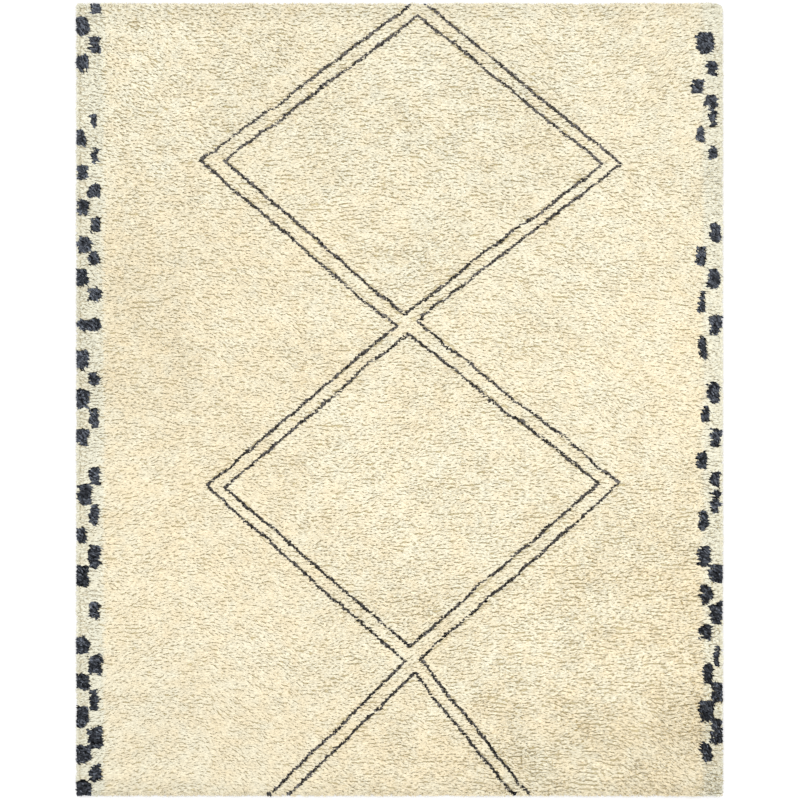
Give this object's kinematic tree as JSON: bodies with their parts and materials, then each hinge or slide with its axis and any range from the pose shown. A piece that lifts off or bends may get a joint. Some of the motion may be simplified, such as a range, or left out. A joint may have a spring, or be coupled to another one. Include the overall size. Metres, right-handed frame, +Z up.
{
  "type": "beni ourain rug",
  "caption": "Rectangular thick-pile wool rug laid flat, with a shaggy lumpy top, rounded corners, locks of wool round its rim and a flat underside.",
  "frame": {"origin": "middle of the rug, on the flat underside that lies on the floor", "axes": "+X across the rug, +Y along it towards the end at the top of the picture, +Z up out of the pile"},
  "size_m": [2.44, 2.99, 0.0289],
  "materials": {
    "wool": "matte"
  },
  "bodies": {
    "root": {"rug": "wool"}
  },
  "joints": []
}
